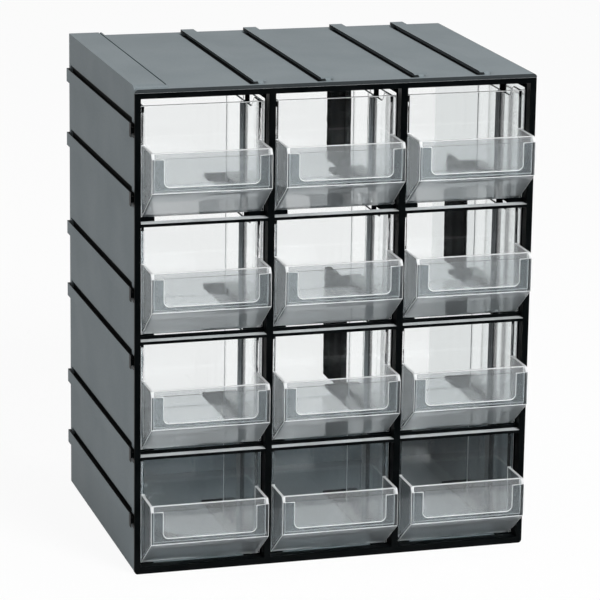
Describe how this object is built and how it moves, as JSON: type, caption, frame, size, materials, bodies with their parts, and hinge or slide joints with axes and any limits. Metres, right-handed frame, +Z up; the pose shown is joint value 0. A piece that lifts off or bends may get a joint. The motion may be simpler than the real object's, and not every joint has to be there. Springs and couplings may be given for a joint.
{
  "type": "parts bin cabinet",
  "caption": "Small open-backed cabinet of clear pull-out drawers with pocket grips, in a grey sleeve with joining rails and a black front frame.",
  "frame": {"origin": "centre of the casing's base, on the surface it stands on", "axes": "+X to the right seen from the front, +Y to the back, +Z up; drawers open towards -Y"},
  "size_m": [0.2266, 0.181, 0.2716],
  "materials": {
    "shell_grey": "fine moulded texture, satin",
    "frame_black": "smooth satin",
    "drawer_clear": "clear polystyrene, polished",
    "cover_clear": "clear with a light haze"
  },
  "bodies": {
    "casing": {"outer_shell": "shell_grey", "front_frame": "frame_black", "side_frame_left": "frame_black", "side_frame_right": "frame_black", "partition_1": "frame_black", "partition_2": "frame_black"},
    "bin_r1c1": {"drawer_r1c1": "drawer_clear", "label_cover_r1c1": "cover_clear"},
    "bin_r1c2": {"drawer_r1c2": "drawer_clear", "label_cover_r1c2": "cover_clear"},
    "bin_r1c3": {"drawer_r1c3": "drawer_clear", "label_cover_r1c3": "cover_clear"},
    "bin_r2c1": {"drawer_r2c1": "drawer_clear", "label_cover_r2c1": "cover_clear"},
    "bin_r2c2": {"drawer_r2c2": "drawer_clear", "label_cover_r2c2": "cover_clear"},
    "bin_r2c3": {"drawer_r2c3": "drawer_clear", "label_cover_r2c3": "cover_clear"},
    "bin_r3c1": {"drawer_r3c1": "drawer_clear", "label_cover_r3c1": "cover_clear"},
    "bin_r3c2": {"drawer_r3c2": "drawer_clear", "label_cover_r3c2": "cover_clear"},
    "bin_r3c3": {"drawer_r3c3": "drawer_clear", "label_cover_r3c3": "cover_clear"},
    "bin_r4c1": {"drawer_r4c1": "drawer_clear", "label_cover_r4c1": "cover_clear"},
    "bin_r4c2": {"drawer_r4c2": "drawer_clear", "label_cover_r4c2": "cover_clear"},
    "bin_r4c3": {"drawer_r4c3": "drawer_clear", "label_cover_r4c3": "cover_clear"}
  },
  "joints": [
    {"name": "slide_r1c1", "type": "slide", "parent": "casing", "child": "bin_r1c1", "axis": [0, -1, 0], "range_m": [0, 0.05]},
    {"name": "slide_r1c2", "type": "slide", "parent": "casing", "child": "bin_r1c2", "axis": [0, -1, 0], "range_m": [0, 0.05]},
    {"name": "slide_r1c3", "type": "slide", "parent": "casing", "child": "bin_r1c3", "axis": [0, -1, 0], "range_m": [0, 0.05]},
    {"name": "slide_r2c1", "type": "slide", "parent": "casing", "child": "bin_r2c1", "axis": [0, -1, 0], "range_m": [0, 0.05]},
    {"name": "slide_r2c2", "type": "slide", "parent": "casing", "child": "bin_r2c2", "axis": [0, -1, 0], "range_m": [0, 0.05]},
    {"name": "slide_r2c3", "type": "slide", "parent": "casing", "child": "bin_r2c3", "axis": [0, -1, 0], "range_m": [0, 0.05]},
    {"name": "slide_r3c1", "type": "slide", "parent": "casing", "child": "bin_r3c1", "axis": [0, -1, 0], "range_m": [0, 0.05]},
    {"name": "slide_r3c2", "type": "slide", "parent": "casing", "child": "bin_r3c2", "axis": [0, -1, 0], "range_m": [0, 0.05]},
    {"name": "slide_r3c3", "type": "slide", "parent": "casing", "child": "bin_r3c3", "axis": [0, -1, 0], "range_m": [0, 0.05]},
    {"name": "slide_r4c1", "type": "slide", "parent": "casing", "child": "bin_r4c1", "axis": [0, -1, 0], "range_m": [0, 0.05]},
    {"name": "slide_r4c2", "type": "slide", "parent": "casing", "child": "bin_r4c2", "axis": [0, -1, 0], "range_m": [0, 0.05]},
    {"name": "slide_r4c3", "type": "slide", "parent": "casing", "child": "bin_r4c3", "axis": [0, -1, 0], "range_m": [0, 0.05]}
  ]
}
